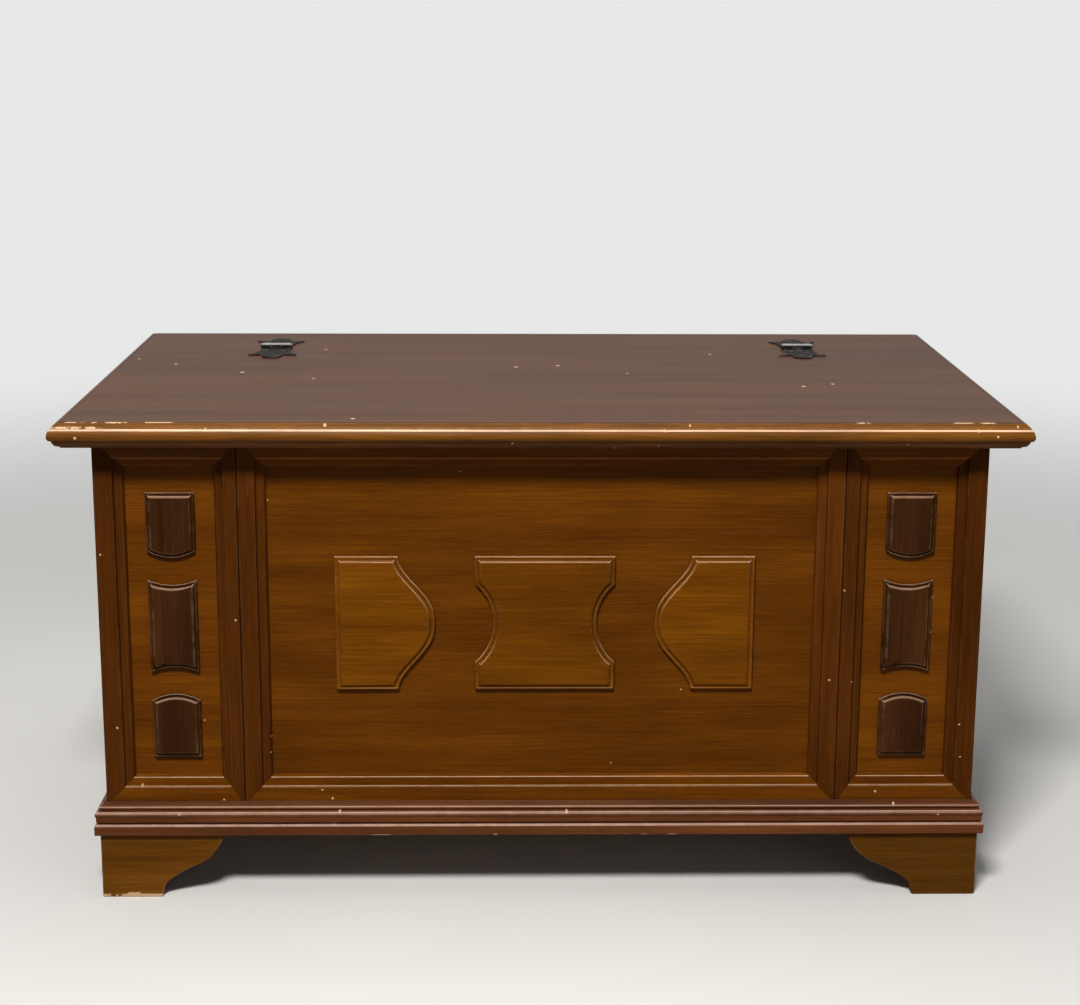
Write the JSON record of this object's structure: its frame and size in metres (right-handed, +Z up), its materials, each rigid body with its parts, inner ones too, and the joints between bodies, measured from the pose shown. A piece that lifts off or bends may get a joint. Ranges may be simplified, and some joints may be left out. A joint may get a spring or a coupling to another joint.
{
  "type": "storage chest",
  "caption": "Wooden storage chest on bracket feet, with framed panels, applied plaques and a moulded lid on surface hinges with an inner stay.",
  "frame": {"origin": "on the floor, below the middle of the chest's outer box", "axes": "+X to the right of someone facing the front, +Y towards the back, +Z up"},
  "size_m": [1.1, 0.56, 0.5923],
  "materials": {
    "top_wood": "dark brown stain with a dull, worn varnish",
    "amber_wood": "amber brown stain, satin varnish, grain along the piece",
    "stile_wood": "reddish brown stain, satin varnish, grain along the piece",
    "walnut": "dark walnut stain, satin varnish, upright grain",
    "inside_wood": "plain unfinished wood",
    "hinge_iron": "black, slightly worn",
    "stay_brass": "dull, aged"
  },
  "bodies": {
    "case": {"front_board": "amber_wood", "back_board": "inside_wood", "side_board_left": "stile_wood", "side_board_right": "stile_wood", "bottom_board": "inside_wood", "left_frame_bottom": "amber_wood", "left_frame_right": "stile_wood", "left_frame_top": "amber_wood", "left_frame_left": "stile_wood", "centre_frame_bottom": "amber_wood", "centre_frame_right": "stile_wood", "centre_frame_top": "amber_wood", "centre_frame_left": "stile_wood", "right_frame_bottom": "amber_wood", "right_frame_right": "stile_wood", "right_frame_top": "amber_wood", "right_frame_left": "stile_wood", "centre_plaque_left": "amber_wood", "centre_plaque_middle": "amber_wood", "centre_plaque_right": "amber_wood", "left_plaque_top": "walnut", "left_plaque_middle": "walnut", "left_plaque_bottom": "walnut", "right_plaque_top": "walnut", "right_plaque_middle": "walnut", "right_plaque_bottom": "walnut", "base_moulding_front": "amber_wood", "base_moulding_left": "stile_wood", "base_moulding_right": "stile_wood", "base_frame_front": "stile_wood", "base_frame_left": "stile_wood", "base_frame_right": "stile_wood", "base_frame_back": "inside_wood", "front_foot_left": "amber_wood", "front_foot_right": "amber_wood", "side_foot_left": "stile_wood", "side_foot_right": "stile_wood", "rear_foot_left": "stile_wood", "rear_foot_right": "stile_wood", "front_block_left": "inside_wood", "front_block_right": "inside_wood", "rear_block_left": "inside_wood", "rear_block_right": "inside_wood", "rear_strip": "top_wood", "strip_moulding_left": "amber_wood", "strip_moulding_right": "amber_wood", "hinge_strip_leaf_left": "hinge_iron", "hinge_strip_leaf_right": "hinge_iron", "hinge_pin_left": "hinge_iron", "hinge_pin_right": "hinge_iron", "stay_keeper": "stay_brass"},
    "lid": {"lid_board": "top_wood", "lid_moulding_front": "amber_wood", "lid_moulding_left": "amber_wood", "lid_moulding_right": "amber_wood", "lid_batten_left": "inside_wood", "lid_batten_right": "inside_wood", "hinge_lid_leaf_left": "hinge_iron", "hinge_lid_leaf_right": "hinge_iron", "stay_arm": "stay_brass"}
  },
  "joints": [
    {"name": "lid_hinge", "type": "hinge", "parent": "case", "child": "lid", "pos_m": [0, 0.1625, 0.5884], "axis": [-1, 0, 0], "range_deg": [0, 95]}
  ]
}
